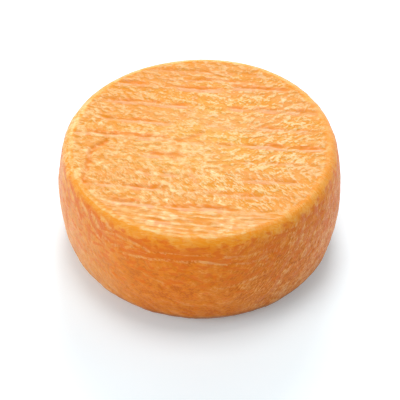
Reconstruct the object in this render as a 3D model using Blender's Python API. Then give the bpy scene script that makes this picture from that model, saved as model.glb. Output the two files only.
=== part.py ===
"""A whole wheel of washed-rind cheese: one pressed, turned disc with a bulging side, a soft shoulder, a flat
base, and a top face that carries the marks of the rack it ripened on.

Run it with: blender --background --python part.py
Everything is in metres. The origin is the middle of the base, and +Z points up through the wheel.
"""

import math

import bmesh
import bpy
import numpy as np
from mathutils import Vector, noise

# The turned form
WHEEL_DIAMETER = 0.180
WHEEL_HEIGHT = 0.076
SIDE_BULGE = 0.0055  # the side stands this much further out at half height than at its top and bottom
SHOULDER_RADIUS = 0.0055
FOOT_RADIUS = 0.013
FACE_DISH = 0.0013  # the middle of the top face lies this far below its rim
LIP_POWER = 6  # a higher power keeps the dish flat for longer and the lip narrower
WHEEL_RADIUS = WHEEL_DIAMETER / 2
FACE_RADIUS = WHEEL_RADIUS - SIDE_BULGE - SHOULDER_RADIUS

# The slow unevenness of a wheel that sags as it ripens: (waves round the wheel, size, direction in degrees)
ROUND_WAVES = ((3, 0.00055, 160.0), (4, 0.00025, -136.0))
SLUMP_DEPTH = 0.0026  # how far the rim has slumped on one side
SLUMP_TOWARDS = 197.0  # degrees from +X
SLUMP_SPREAD = 34.0  # degrees
SLUMP_START = 0.72  # the share of the radius where the slump begins

# The rack marks: parallel grooves pressed into the top face by the bars it lay on. Each row is a stretch of a
# groove, in millimetres in the rack's directions: (distance across, start, end, share of the full depth)
RACK_TURN = math.radians(-6.0)
RACK_MARKS = (
    (68.5, -42, 38, 0.45),
    (60.5, -30, 28, 0.5),
    (52.0, -55, 42, 1.0),
    (34.5, -64, -12, 0.9),
    (34.5, 15, 72, 0.9),
    (17.0, -64, -20, 0.7),
    (17.0, 0, 20, 0.45),
    (17.0, 30, 72, 0.6),
    (0.5, -78, -22, 1.1),
    (0.0, -12, 22, 0.5),
    (1.0, 26, 76, 0.8),
    (-14.0, -30, -8, 0.7),
    (-14.5, 24, 60, 0.4),
    (-29.5, -34, -10, 0.7),
    (-30.0, 28, 62, 0.7),
    (-43.0, -50, -22, 0.5),
    (-43.0, 0, 50, 0.6),
    (-57.5, -50, 24, 1.2),
    (-70.0, -24, 12, 0.6),
)
BAR_HALF_WIDTH = 0.0019
BAR_DEPTH = 0.0008
BAR_WANDER = 0.0006  # how far a groove strays sideways
BAR_WANDER_LENGTH = 0.050
BAR_FADE = 0.006  # a stretch runs out over this length to either side of its end

# Folds on the top face, in millimetres: (points along it, depth, half width). A negative depth is a ridge
FACE_FOLDS = (
    (((-58, 1), (-67, -8), (-68, -22), (-70, -34)), 0.8, 2.2),
    (((-14, 2), (-6, 5), (1, 10)), 0.6, 2.4),
    (((-28, -15), (-18, -19), (-10, -28)), -0.5, 2.8),
    (((-19, -12), (-8, -20), (-2, -36)), 0.5, 2.2),
    (((0, 50), (-4, 43), (-2, 34), (-8, 28), (-13, 23)), 0.35, 1.8),
    (((1, 64), (3, 76)), -0.3, 2.5),
)

# Folds on the side: (points along it as degrees round from +X and millimetres up, depth, half width)
SIDE_FOLDS = (
    (((-118, 63), (-110, 65.5), (-104, 64), (-86, 63)), 0.5, 1.4),
    (((-104, 61.5), (-84, 60)), 0.35, 1.3),
    (((-108, 66), (-107, 50), (-103, 32)), 0.4, 1.6),
    (((-85, 56), (-92, 33)), 0.35, 2.0),
    (((-65, 42), (-53, 57), (-46, 61)), 0.4, 1.8),
    (((-40, 69), (-27, 73)), 0.4, 1.6),
    (((-127, 77), (-121, 66)), 0.5, 2.0),
    (((-138, 77), (-132, 62)), 0.6, 2.2),
    (((-149, 77), (-141, 66)), 0.6, 2.2),
    (((-159, 76), (-153, 68)), 0.5, 2.2),
    (((32, 62), (58, 64)), 0.4, 1.6),
    (((75, 30), (84, 52)), 0.4, 1.8),
    (((140, 66), (118, 62)), 0.4, 1.6),
)

# The wrinkled skin
WRINKLE_LENGTH = 0.016
WRINKLE_WIDTH = 0.007
FACE_WRINKLE = 0.00035
SIDE_WRINKLE = 0.00030

# The mesh
SEGMENTS = 264
RING_STEP = 0.0018
ARC_STEPS = 6
TRIANGLES = 11400
BASE_FLATTENED = 0.0002  # what lies lower than this is part of the flat base

RIND_COLOUR = (0.78, 0.33, 0.07, 1.0)
RIND_ROUGHNESS = 0.42


def smooth_step(value, low, high):
    """0 below low, 1 above high, and an even rise between them."""
    share = np.clip((value - low) / (high - low), 0.0, 1.0)
    return share * share * (3.0 - 2.0 * share)


def evenly(start, end, step):
    """Values from start to end, both included, about step apart."""
    count = max(1, math.ceil(abs(end - start) / step))
    return np.linspace(start, end, count + 1)


def side_radius(height):
    """The radius of the bulging side at a height, before its edges are rounded."""
    from_middle = 2.0 * height / WHEEL_HEIGHT - 1.0
    return WHEEL_RADIUS - SIDE_BULGE * from_middle**2


def turned_profile():
    """Half the wheel's outline as (radius, height), from the middle of the top face to the middle of the base."""
    face = [
        (radius, WHEEL_HEIGHT - FACE_DISH * (1.0 - (radius / FACE_RADIUS) ** LIP_POWER))
        for radius in evenly(0.0, FACE_RADIUS, RING_STEP)
    ]
    shoulder = []
    for turn in np.linspace(math.pi / 2, 0.0, ARC_STEPS + 1)[1:]:
        height = WHEEL_HEIGHT - SHOULDER_RADIUS * (1.0 - math.sin(turn))
        shoulder.append((side_radius(height) - SHOULDER_RADIUS * (1.0 - math.cos(turn)), height))
    side = [
        (side_radius(height), height)
        for height in evenly(WHEEL_HEIGHT - SHOULDER_RADIUS, FOOT_RADIUS, RING_STEP)[1:]
    ]
    foot = []
    for turn in np.linspace(0.0, math.pi / 2, ARC_STEPS + 1)[1:]:
        height = FOOT_RADIUS * (1.0 - math.sin(turn))
        foot.append((side_radius(height) - FOOT_RADIUS * (1.0 - math.cos(turn)), height))
    base = [(radius, 0.0) for radius in evenly(foot[-1][0], 0.0, 5 * RING_STEP)[1:]]
    return face + shoulder + side + foot + base


def turned_blank():
    """The profile turned round +Z into one closed mesh, as a bmesh with its normals worked out."""
    blank = bmesh.new()
    profile = [blank.verts.new((radius, 0.0, height)) for radius, height in turned_profile()]
    edges = [blank.edges.new(pair) for pair in zip(profile, profile[1:])]
    bmesh.ops.spin(
        blank,
        geom=profile + edges,
        cent=(0, 0, 0),
        axis=(0, 0, 1),
        angle=2 * math.pi,
        steps=SEGMENTS,
        use_merge=True,
    )
    bmesh.ops.remove_doubles(blank, verts=blank.verts, dist=1e-6)
    bmesh.ops.recalc_face_normals(blank, faces=blank.faces)
    blank.normal_update()
    return blank


def noise_at(points, scales, offset=0.0):
    """Smooth noise from -1 to 1 at each point, with its own length along each axis."""
    stretched = points / np.array(scales) + offset
    return np.array([noise.noise(Vector(point)) for point in stretched])


def in_rack_directions(points):
    """The points turned so that their first axis runs along the rack's bars and their second across them."""
    along = points[:, 0] * math.cos(RACK_TURN) + points[:, 1] * math.sin(RACK_TURN)
    across = points[:, 1] * math.cos(RACK_TURN) - points[:, 0] * math.sin(RACK_TURN)
    return np.stack([along, across, points[:, 2]], axis=1)


def stretch(along, start, end):
    """1 between start and end, which are in millimetres, and an even fall to 0 around each of them."""
    rise = smooth_step(along, start / 1000 - BAR_FADE, start / 1000 + BAR_FADE)
    return rise * (1.0 - smooth_step(along, end / 1000 - BAR_FADE, end / 1000 + BAR_FADE))


def rack_marks(racked):
    """The depth of the grooves that the bars pressed, at points in the rack's directions."""
    wander = BAR_WANDER * noise_at(racked, (BAR_WANDER_LENGTH, BAR_WANDER_LENGTH, 1.0))
    depth = np.zeros(len(racked))
    for bar, start, end, share in RACK_MARKS:
        away = racked[:, 1] + wander - bar / 1000
        depth += share * stretch(racked[:, 0], start, end) * np.exp(-((away / BAR_HALF_WIDTH) ** 2))
    return BAR_DEPTH * depth


def folds(flat, drawn):
    """The depth of the drawn folds at flat points, each fold a soft groove along the line through its points."""
    depth = np.zeros(len(flat))
    for line, deep, half_width in drawn:
        line = np.array(line) / 1000
        away = np.full(len(flat), np.inf)
        for start, end in zip(line, line[1:]):
            run = end - start
            share = np.clip((flat - start) @ run / (run @ run), 0.0, 1.0)
            away = np.minimum(away, np.linalg.norm(flat - start - share[:, None] * run, axis=1))
        depth += deep / 1000 * np.exp(-((away / (half_width / 1000)) ** 2))
    return depth


def side_folds(points):
    """The depth of the folds on the side, drawn on the side as if it were rolled out flat."""
    millimetres_a_degree = 1000 * WHEEL_RADIUS * math.radians(1)
    rolled_out = np.stack([np.arctan2(points[:, 1], points[:, 0]) * WHEEL_RADIUS, points[:, 2]], axis=1)
    drawn = [
        ([(degrees * millimetres_a_degree, height) for degrees, height in line], deep, half_width)
        for line, deep, half_width in SIDE_FOLDS
    ]
    return folds(rolled_out, drawn)


def wrinkles(points, scales, offset):
    """The skin's wrinkles: sharp valleys between rounded swells, from 0 in a valley to about 1 on a swell."""
    return np.abs(noise_at(points, scales, offset)) * 2.0


def sagged(points):
    """The points moved by the slow unevenness of the wheel: not quite round, and slumped on one side."""
    around = np.arctan2(points[:, 1], points[:, 0])
    reach = np.hypot(points[:, 0], points[:, 1]) / WHEEL_RADIUS
    rise = points[:, 2] / WHEEL_HEIGHT
    grown = np.ones(len(points))
    for waves, size, direction in ROUND_WAVES:
        grown += size / WHEEL_RADIUS * np.cos(waves * around - math.radians(direction))
    turned_away = (around - math.radians(SLUMP_TOWARDS) + math.pi) % (2 * math.pi) - math.pi
    slump = SLUMP_DEPTH * np.exp(-((turned_away / math.radians(SLUMP_SPREAD)) ** 2))
    moved = points.copy()
    moved[:, :2] *= grown[:, None]
    moved[:, 2] -= slump * smooth_step(reach, SLUMP_START, 1.0) * smooth_step(rise, 0.35, 1.0)
    return moved


def skin_relief(points, normals):
    """How far the rind stands in or out from the turned form, along its normal."""
    up = normals[:, 2]
    on_face = smooth_step(up, 0.55, 0.98)
    on_side = smooth_step(1.0 - np.abs(up), 0.10, 0.5)
    reach = np.hypot(points[:, 0], points[:, 1])
    inside_rim = 1.0 - smooth_step(reach, FACE_RADIUS - 0.004, FACE_RADIUS + 0.002)
    racked = in_rack_directions(points)
    face = FACE_WRINKLE * (wrinkles(racked, (WRINKLE_LENGTH, WRINKLE_WIDTH, 1.0), 3.1) - 0.5)
    face -= rack_marks(racked) + folds(points[:, :2], FACE_FOLDS)
    side_scales = (2 * WRINKLE_WIDTH, 2 * WRINKLE_WIDTH, WRINKLE_LENGTH)
    side = SIDE_WRINKLE * (wrinkles(points, side_scales, 11.7) - 0.5)
    side -= side_folds(points)
    return face * on_face * inside_rim + side * on_side


def rind_material():
    """The rind's plain colour and gloss."""
    material = bpy.data.materials.new("rind")
    material.use_nodes = True
    shader = material.node_tree.nodes["Principled BSDF"]
    shader.inputs["Base Color"].default_value = RIND_COLOUR
    shader.inputs["Roughness"].default_value = RIND_ROUGHNESS
    shader.inputs["Metallic"].default_value = 0.0
    return material


def dense_wheel():
    """The turned blank, sagged and wrinkled, as an object with far more triangles than the wheel needs."""
    blank = turned_blank()
    points = np.array([vert.co for vert in blank.verts])
    normals = np.array([vert.normal for vert in blank.verts])
    shaped = sagged(points) + normals * skin_relief(points, normals)[:, None]
    for vert, place in zip(blank.verts, shaped):
        vert.co = place
    bmesh.ops.triangulate(blank, faces=blank.faces)
    mesh = bpy.data.meshes.new("dense_wheel")
    blank.to_mesh(mesh)
    blank.free()
    dense = bpy.data.objects.new("dense_wheel", mesh)
    bpy.context.collection.objects.link(dense)
    return dense


def settle(mesh):
    """Flattens the base at height 0 and puts the middle of the wheel's box over the origin."""
    points = np.array([vertex.co for vertex in mesh.vertices])
    points[points[:, 2] < BASE_FLATTENED, 2] = 0.0
    points[:, :2] -= (points[:, :2].min(axis=0) + points[:, :2].max(axis=0)) / 2
    for vertex, place in zip(mesh.vertices, points):
        vertex.co = place


def cheese_wheel():
    """The wheel: the dense one thinned, so that its triangles are small only where the rind is uneven."""
    dense = dense_wheel()
    thin = dense.modifiers.new("thin", "DECIMATE")
    thin.ratio = TRIANGLES / len(dense.data.polygons)
    bpy.context.view_layer.update()
    mesh = bpy.data.meshes.new_from_object(dense.evaluated_get(bpy.context.evaluated_depsgraph_get()))
    bpy.data.objects.remove(dense)
    settle(mesh)
    mesh.shade_smooth()
    mesh.materials.append(rind_material())
    wheel = bpy.data.objects.new("cheese_wheel", mesh)
    bpy.context.collection.objects.link(wheel)
    return wheel


def main():
    for old in list(bpy.data.objects):
        bpy.data.objects.remove(old)
    cheese_wheel()


main()
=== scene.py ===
# %% [markdown]
# # A washed-rind cheese wheel
#
# This lesson dresses one CAD solid, a whole round cheese, in the skin that a damp, brushed cheese grows
# while it ripens. The solid fixes the size and the form. What is built here is a much finer mesh of the
# same form, with the small wrinkles modelled, and one material for the rind, whose colour follows those
# wrinkles.
#
# All lengths are in metres. The wheel stands on the floor at height 0, with +Z up and the camera on the -Y
# side.

import math

import bpy
import numpy as np
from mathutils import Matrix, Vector, noise


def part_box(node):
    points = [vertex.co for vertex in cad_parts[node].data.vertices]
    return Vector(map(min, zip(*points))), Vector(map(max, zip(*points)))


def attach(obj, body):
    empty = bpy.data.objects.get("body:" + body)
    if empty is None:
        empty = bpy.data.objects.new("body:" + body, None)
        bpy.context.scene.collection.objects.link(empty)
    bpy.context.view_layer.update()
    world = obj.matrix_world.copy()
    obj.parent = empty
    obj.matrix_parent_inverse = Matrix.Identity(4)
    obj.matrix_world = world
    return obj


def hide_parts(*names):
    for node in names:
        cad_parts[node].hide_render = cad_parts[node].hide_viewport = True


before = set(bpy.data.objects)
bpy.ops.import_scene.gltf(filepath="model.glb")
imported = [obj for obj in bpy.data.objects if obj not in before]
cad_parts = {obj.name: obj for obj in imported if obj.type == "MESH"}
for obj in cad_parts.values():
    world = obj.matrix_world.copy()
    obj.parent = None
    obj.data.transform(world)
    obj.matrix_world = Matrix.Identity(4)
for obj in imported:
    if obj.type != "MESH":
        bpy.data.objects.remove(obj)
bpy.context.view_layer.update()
low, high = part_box("cheese_wheel")
print("the solid is", [round((b - a) * 1000, 1) for a, b in zip(low, high)], "mm")

# %% [markdown]
# ## The turned form
#
# A hoop and a press give a cheese its first form: a disc with flat faces. Its own weight then pushes the
# side out into a bulge, washing rounds the shoulder, and the foot rounds more because it is turned while
# still soft. So the plain form is one curve turned round the upright axis: a slightly dished face, a tight
# arc, a bulge, a wider arc.
#
# Each ring of the turned mesh gets as many points as fit round it at an even spacing, so the triangles are
# alike from the middle of the face to the widest part of the side. That way the wrinkles come out equally
# sharp everywhere, which a plain spin, with its crowded middle, would not give.

# %% The named sizes of the form
WHEEL_RADIUS = 0.090
WHEEL_HEIGHT = 0.076
SIDE_BULGE = 0.0055
SHOULDER_RADIUS = 0.0055
FOOT_RADIUS = 0.013
FACE_DISH = 0.0013
LIP_POWER = 6
FACE_RADIUS = WHEEL_RADIUS - SIDE_BULGE - SHOULDER_RADIUS

FACE_STEP = 0.00069  # the spacing of the mesh on the top face and the shoulder, fine enough for a wrinkle
SIDE_STEP = 0.00092
FOOT_STEP = 1.8 * SIDE_STEP
BASE_STEP = 0.006


def smooth_step(value, low, high):
    """0 below low, 1 above high, and an even rise between them."""
    share = np.clip((value - low) / (high - low), 0.0, 1.0)
    return share * share * (3.0 - 2.0 * share)


def evenly(start, end, step):
    """Values from start to end, both included, about step apart."""
    count = max(1, math.ceil(abs(end - start) / step))
    return np.linspace(start, end, count + 1)


def side_radius(height):
    """The radius of the bulging side at a height, before its edges are rounded."""
    from_middle = 2.0 * height / WHEEL_HEIGHT - 1.0
    return WHEEL_RADIUS - SIDE_BULGE * from_middle**2


def turned_profile():
    """The outline from the middle of the top face to the middle of the base: radius, height, mesh spacing."""
    outline = [
        (radius, WHEEL_HEIGHT - FACE_DISH * (1.0 - (radius / FACE_RADIUS) ** LIP_POWER), FACE_STEP)
        for radius in evenly(0.0, FACE_RADIUS, FACE_STEP)
    ]
    for turn in evenly(math.pi / 2, 0.0, FACE_STEP / SHOULDER_RADIUS)[1:]:
        height = WHEEL_HEIGHT - SHOULDER_RADIUS * (1.0 - math.sin(turn))
        outline.append((side_radius(height) - SHOULDER_RADIUS * (1.0 - math.cos(turn)), height, FACE_STEP))
    for height in evenly(WHEEL_HEIGHT - SHOULDER_RADIUS, FOOT_RADIUS, SIDE_STEP)[1:]:
        outline.append((side_radius(height), height, SIDE_STEP))
    for turn in evenly(0.0, math.pi / 2, SIDE_STEP / FOOT_RADIUS)[1:]:
        height = FOOT_RADIUS * (1.0 - math.sin(turn))
        outline.append((side_radius(height) - FOOT_RADIUS * (1.0 - math.cos(turn)), height, FOOT_STEP))
    for radius in evenly(outline[-1][0], 0.0, BASE_STEP)[1:]:
        outline.append((radius, 0.0, BASE_STEP))
    return outline


print(len(turned_profile()), "rings from the middle of the face to the middle of the base")

# %% [markdown]
# ## Turning the outline
#
# Each step of the outline becomes a ring of points, and a band of triangles joins it to the next ring. Two
# rings seldom have the same number of points, so a band pairs each point with the one that lies beside it
# on the other ring, and closes the gaps with a triangle each.


# %% Turn the outline into an even mesh
def ring(radius, height, spacing):
    """Points round the axis, about spacing apart, and a single point where the radius is 0."""
    count = max(1, round(2 * math.pi * radius / spacing))
    turn = 2 * math.pi * np.arange(count) / count
    return np.stack([radius * np.cos(turn), radius * np.sin(turn), np.full(count, height)], axis=1)


def band(upper, lower, upper_start, lower_start):
    """The triangles between two rings of any counts, facing out."""
    step = np.arange(upper)
    beside = ((step + 1) * lower - 1) // upper
    along_upper = np.stack(
        [upper_start + step, lower_start + beside % lower, upper_start + (step + 1) % upper], axis=1
    )
    step = np.arange(lower)
    beside = (step + 1) * upper // lower
    along_lower = np.stack(
        [upper_start + beside % upper, lower_start + step, lower_start + (step + 1) % lower], axis=1
    )
    parts = []
    if upper > 1:
        parts.append(along_upper)
    if lower > 1:
        parts.append(along_lower)
    return np.concatenate(parts)


def turned_mesh(name):
    """The outline turned into rings of points, each joined to the next by a band of triangles."""
    rings = [ring(*step) for step in turned_profile()]
    starts = np.cumsum([0] + [len(points) for points in rings])
    faces = [
        band(len(rings[i]), len(rings[i + 1]), int(starts[i]), int(starts[i + 1]))
        for i in range(len(rings) - 1)
    ]
    mesh = bpy.data.meshes.new(name)
    mesh.from_pydata(np.concatenate(rings).tolist(), [], np.concatenate(faces).tolist())
    mesh.update()
    return mesh


rind_mesh = turned_mesh("rind")
points = np.array([vertex.co for vertex in rind_mesh.vertices])
normals = np.array([vertex.normal for vertex in rind_mesh.vertices])
print(len(points), "points and", len(rind_mesh.polygons), "triangles")

# %% [markdown]
# ## How the wheel sags
#
# No hand-made wheel is quite round. A few slow waves round the edge, and one place where the rim has
# slumped, take the machined look off the outline. These are the same moves that shaped the CAD solid, so
# the skin stays on it.

# %% The slow unevenness
ROUND_WAVES = ((3, 0.00055, 160.0), (4, 0.00025, -136.0))
SLUMP_DEPTH = 0.0026
SLUMP_TOWARDS = 197.0
SLUMP_SPREAD = 34.0
SLUMP_START = 0.72


def sagged(points):
    """The points moved by the slow unevenness of the wheel: not quite round, and slumped on one side."""
    around = np.arctan2(points[:, 1], points[:, 0])
    reach = np.hypot(points[:, 0], points[:, 1]) / WHEEL_RADIUS
    rise = points[:, 2] / WHEEL_HEIGHT
    grown = np.ones(len(points))
    for waves, size, direction in ROUND_WAVES:
        grown += size / WHEEL_RADIUS * np.cos(waves * around - math.radians(direction))
    turned_away = (around - math.radians(SLUMP_TOWARDS) + math.pi) % (2 * math.pi) - math.pi
    slump = SLUMP_DEPTH * np.exp(-((turned_away / math.radians(SLUMP_SPREAD)) ** 2))
    moved = points.copy()
    moved[:, :2] *= grown[:, None]
    moved[:, 2] -= slump * smooth_step(reach, SLUMP_START, 1.0) * smooth_step(rise, 0.35, 1.0)
    return moved


# %% [markdown]
# ## Rack marks and folds
#
# While it ripens the wheel lies on a rack, and the bars press long parallel grooves into its face. Washing
# smears the damp rind across them, so each groove is deep in some stretches and gone in others. The cloth
# of the hoop leaves folds, which are soft grooves too, but each with its own winding way.
#
# They could be sculpted by hand. Lines drawn as a few corners say the same in less, and can be moved later.

# %% Where the bars of the rack pressed
RACK_TURN = math.radians(-6.0)
# millimetres across the rack, the start and the end along the bar, and the share of the full depth
RACK_MARKS = (
    (68.5, -42, 38, 0.45),
    (60.5, -30, 28, 0.5),
    (52.0, -57, 10, 0.9),
    (54.5, 14, 50, 1.1),
    (34.5, -64, -12, 0.9),
    (34.5, 15, 72, 0.9),
    (17.0, -64, -20, 0.7),
    (17.0, 0, 20, 0.45),
    (17.0, 30, 72, 0.6),
    (2.0, -77, -22, 1.8),
    (0.0, -12, 22, 0.5),
    (0.5, 26, 76, 1.0),
    (-14.0, -34, -10, 0.9),
    (-14.5, 24, 60, 0.4),
    (-29.5, -34, -10, 0.7),
    (-30.0, 28, 62, 0.7),
    (-42.5, -66, -17, 0.8),
    (-43.0, 0, 50, 0.6),
    (-56.5, -50, -22, 1.6),
    (-56.5, -14, 24, 1.3),
    (-70.0, -24, 12, 0.6),
)
BAR_HALF_WIDTH = 0.0015
BAR_DEPTH = 0.00044
BAR_WANDER = 0.0011
BAR_WANDER_LENGTH = 0.028
BAR_BREAK_LENGTH = 0.011  # along a groove the skin has healed over in places of about this length
BAR_BREAK_WIDTH = 0.4 * BAR_BREAK_LENGTH
BAR_FADE = 0.006
BAR_REACH = 0.0039  # a groove is felt this far from its middle
deepest = BAR_DEPTH * max(share for bar, start, end, share in RACK_MARKS)
print(len(RACK_MARKS), "stretches of groove, the deepest about", round(deepest * 1000, 1), "mm deep")

# %% Where the cloth folded
# the corners seen from above, the depth (below 0 for a raised line) and the half width, all in millimetres
FACE_FOLDS = (
    (((-58, 2), (-67, -6), (-68, -17), (-69, -25), (-70, -34)), 1.1, 1.7),
    (((-14, 2), (-6, 5), (1, 10)), 0.6, 2.4),
    (((-28, -15), (-18, -19), (-10, -28)), -0.5, 2.8),
    (((-19, -12), (-8, -20), (-2, -36)), 0.5, 2.2),
    (((0, 50), (-4, 43), (-2, 34), (-8, 28), (-13, 23)), 0.35, 1.8),
    (((1, 64), (3, 76)), -0.3, 2.5),
)
# on the side a corner is degrees round the wheel and a height, and the last value is how sharp the fold is
SIDE_FOLDS = (
    (
        ((-88, 67), (-104, 66), (-109, 64.5), (-113, 67), (-119, 68.5), (-123, 69), (-129, 67)),
        0.35,
        1.4,
        0.75,
    ),
    (((-80, 60), (-90, 63), (-104, 62), (-113, 59.5), (-121, 58)), 0.35, 1.4, 0.85),
    (((-111, 66), (-117, 65), (-126, 60)), 0.30, 1.3, 0.7),
    (((-110, 54), (-114, 60), (-120, 55)), 0.30, 1.0, 0.4),
    (((-108, 56), (-107, 48), (-103, 32)), 0.20, 1.2, 0.0),
    (((-85, 52), (-92, 33)), 0.20, 1.6, 0.0),
    (((-104, 43), (-112, 48)), 0.35, 1.0, 0.35),
    (((-92, 22), (-101, 30)), 0.35, 1.0, 0.35),
    (((-46, 75), (-45, 69), (-47, 62), (-49, 54), (-56, 45), (-60, 28), (-66, 19)), 0.30, 1.4, 0.55),
    (((-37, 71), (-35, 64)), 0.30, 1.4, 0.5),
    (((-60, 60), (-68, 58), (-78, 59)), 0.35, 1.2, 0.55),
    (((-62, 65), (-72, 63), (-80, 65)), 0.30, 1.1, 0.5),
    (((-62, 52), (-71, 44), (-82, 41)), 0.30, 1.3, 0.45),
    (((-122, 60), (-129, 61), (-134, 64)), 0.30, 1.2, 0.7),
    (((-134, 60), (-138, 64), (-142, 71), (-149, 74)), 0.45, 1.8, 1.0),
    (((-134, 68), (-137, 72), (-141, 74)), 0.40, 1.6, 1.0),
    (((-128, 71), (-131, 73), (-135, 74)), 0.35, 1.5, 0.8),
    (((-146, 62), (-151, 69), (-158, 72)), 0.40, 1.8, 0.9),
    (((-155, 61), (-161, 68), (-168, 71)), 0.35, 1.6, 0.7),
    (((32, 62), (58, 64)), 0.30, 1.6, 0.4),
    (((75, 30), (84, 52)), 0.30, 1.8, 0.4),
    (((140, 66), (118, 62)), 0.30, 1.6, 0.4),
)
FOLD_REACH = 2.5  # the lip and the shade of a fold lie within this many half widths of its line
print(len(FACE_FOLDS), "folds on the face and", len(SIDE_FOLDS), "on the side")


# %% Noise, and the directions in which it is measured
def noise_at(points, scales, offset=0.0):
    """Smooth noise from -1 to 1, with a length along each axis. The offset picks another piece of it."""
    stretched = points / np.array(scales) + offset
    return np.array([noise.noise(Vector(point)) for point in stretched])


def in_rack_directions(points):
    """The points turned so that their first axis runs along the rack's bars and their second across them."""
    along = points[:, 0] * math.cos(RACK_TURN) + points[:, 1] * math.sin(RACK_TURN)
    across = points[:, 1] * math.cos(RACK_TURN) - points[:, 0] * math.sin(RACK_TURN)
    return np.stack([along, across, points[:, 2]], axis=1)


def rolled_out(points):
    """The side laid flat: the way round the wheel in metres, the height, and 0."""
    way_round = np.arctan2(points[:, 1], points[:, 0]) * WHEEL_RADIUS
    return np.stack([way_round, points[:, 2], np.zeros(len(points))], axis=1)


# %% [markdown]
# ## Distances to a line
#
# A groove has a near flank, a floor and a far flank, and each takes its own colour later. So the distance
# to the line is kept with its sign: less than 0 on one side and more than 0 on the other. On the side of
# the wheel it is counted in half widths of the fold, which lets one rule draw narrow and wide folds alike.


# %% Measure the grooves and folds
def inside(value, rise_start, rise_end, fall_start, fall_end):
    """1 inside a zone and 0 outside it, with a soft border at either end."""
    return smooth_step(value, rise_start, rise_end) * (1.0 - smooth_step(value, fall_start, fall_end))


def stretch(along, start, end):
    """1 between start and end, which are in millimetres, and an even fall to 0 around each of them."""
    start, end = start / 1000, end / 1000
    return inside(along, start - BAR_FADE, start + BAR_FADE, end - BAR_FADE, end + BAR_FADE)


def nearest_groove(racked):
    """How far each point lies behind the middle of the nearest groove, and how hard the bar pressed there."""
    wander = BAR_WANDER * noise_at(racked, (BAR_WANDER_LENGTH, BAR_WANDER_LENGTH, 1.0))
    behind = np.full(len(racked), WHEEL_RADIUS)
    pressed = np.zeros(len(racked))
    for bar, start, end, share in RACK_MARKS:
        away = racked[:, 1] + wander - bar / 1000
        hard = share * stretch(racked[:, 0], start, end)
        hard *= 1.0 - smooth_step(np.abs(away), 0.8 * BAR_REACH, BAR_REACH)
        nearer = hard > pressed
        behind = np.where(nearer, away, behind)
        pressed = np.where(nearer, hard, pressed)
    healed = noise_at(racked, (BAR_BREAK_LENGTH, BAR_BREAK_WIDTH, 1.0), 13.7)
    return behind, pressed * np.clip(0.80 + 1.3 * healed, 0.15, 1.3)


def from_line(flat, line):
    """How far each flat point is from a drawn line: more than 0 left of its run, less than 0 right of it."""
    nearest = np.full(len(flat), WHEEL_RADIUS)
    for start, end in zip(line, line[1:]):
        run = end - start
        from_start = flat - start
        share = np.clip(from_start @ run / (run @ run), 0.0, 1.0)
        away = np.linalg.norm(from_start - share[:, None] * run, axis=1)
        left = np.sign(run[0] * from_start[:, 1] - run[1] * from_start[:, 0])
        nearest = np.where(away < np.abs(nearest), left * away, nearest)
    return nearest


def folds(flat, drawn):
    """The depth of the drawn folds at flat points, each a soft groove along the line through its corners."""
    depth = np.zeros(len(flat))
    for line, deep, half_width in drawn:
        away = from_line(flat, np.array(line) / 1000)
        depth += deep / 1000 * np.exp(-((away / (half_width / 1000)) ** 2))
    return depth


def side_folds(points):
    """The depth of the side's folds, how many half widths off the nearest one is, and how sharp it is."""
    flat = rolled_out(points)[:, :2]
    around_a_degree = 1000 * WHEEL_RADIUS * math.radians(1)
    depth = np.zeros(len(flat))
    nearest = np.full(len(flat), FOLD_REACH)
    sharpness = np.zeros(len(flat))
    for line, deep, half_width, sharp in SIDE_FOLDS:
        corners = np.array([(degrees * around_a_degree, height) for degrees, height in line])
        away = from_line(flat, corners / 1000) / (half_width / 1000)
        depth += deep / 1000 * np.exp(-(away**2))
        felt = sharp * (1.0 - smooth_step(np.abs(away), 0.8 * FOLD_REACH, FOLD_REACH))
        nearest = np.where(felt > sharpness, away, nearest)
        sharpness = np.maximum(sharpness, felt)
    return depth, nearest, sharpness


# %% [markdown]
# ## The wrinkled skin
#
# A washed rind is a thin skin that grows while the cheese under it shrinks, so it buckles into short
# ridges. Each ridge is one patch of stretched noise: long one way, narrow the other. Brushing turns the
# ridges, so they lie along the rack in one place and across it in another. The face is therefore given
# three sets of ridges, each turned its own way, and longer streaks at its front edge. The side has three
# sets too, as the cloth pulled it askew.

# %% Sizes and directions of the ridges
WRINKLE_LENGTH = 0.016
WRINKLE_WIDTH = 0.007
FACE_WRINKLE = 0.00035
SIDE_WRINKLE = 0.00030

RIDGE_HEIGHT = 0.00024
RIDGE_LENGTH = 0.0046
RIDGE_WIDTH = 0.0020
FRONT_TURN = -40.0
RIGHT_TURN = 26.0
BACK_TURN = -10.0
EDGE_TURN = -3.0
FIBRE_TURN = 52.0
LEFT_TURN = -68.0
MIDDLE_TURN = -20.0
RIM_RAGGED = 0.0012  # how far the wrinkles of the face reach into the smooth shoulder, or fall short of it
SIDE_CREASE_DEPTH = 0.00012
SIDE_RIDGE_HEIGHT = 0.00024
print("a ridge is", round(RIDGE_LENGTH * 1000, 1), "mm long and", round(RIDGE_WIDTH * 1000, 1), "mm wide")


# %% Ridges and swells of the skin
def wrinkles(points, scales, offset):
    """The skin's wrinkles: sharp valleys between rounded swells, from 0 in a valley to about 1 on a swell."""
    return np.abs(noise_at(points, scales, offset)) * 2.0


def bent(points, bend, length, offset):
    """The points shifted by a slow noise, so that what is drawn on them wanders."""
    scales = (length, length, length)
    moved = points.copy()
    moved[:, 0] += bend * noise_at(points, scales, offset)
    moved[:, 1] += bend * noise_at(points, scales, offset + 31.7)
    return moved


def worms(points, length, spacing, sharpness, offset):
    """Lines where stretched noise crosses zero: 1 on a line and 0 away from it."""
    crossing = noise_at(points, (length, spacing, spacing), offset)
    return np.exp(-((crossing / sharpness) ** 2))


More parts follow.
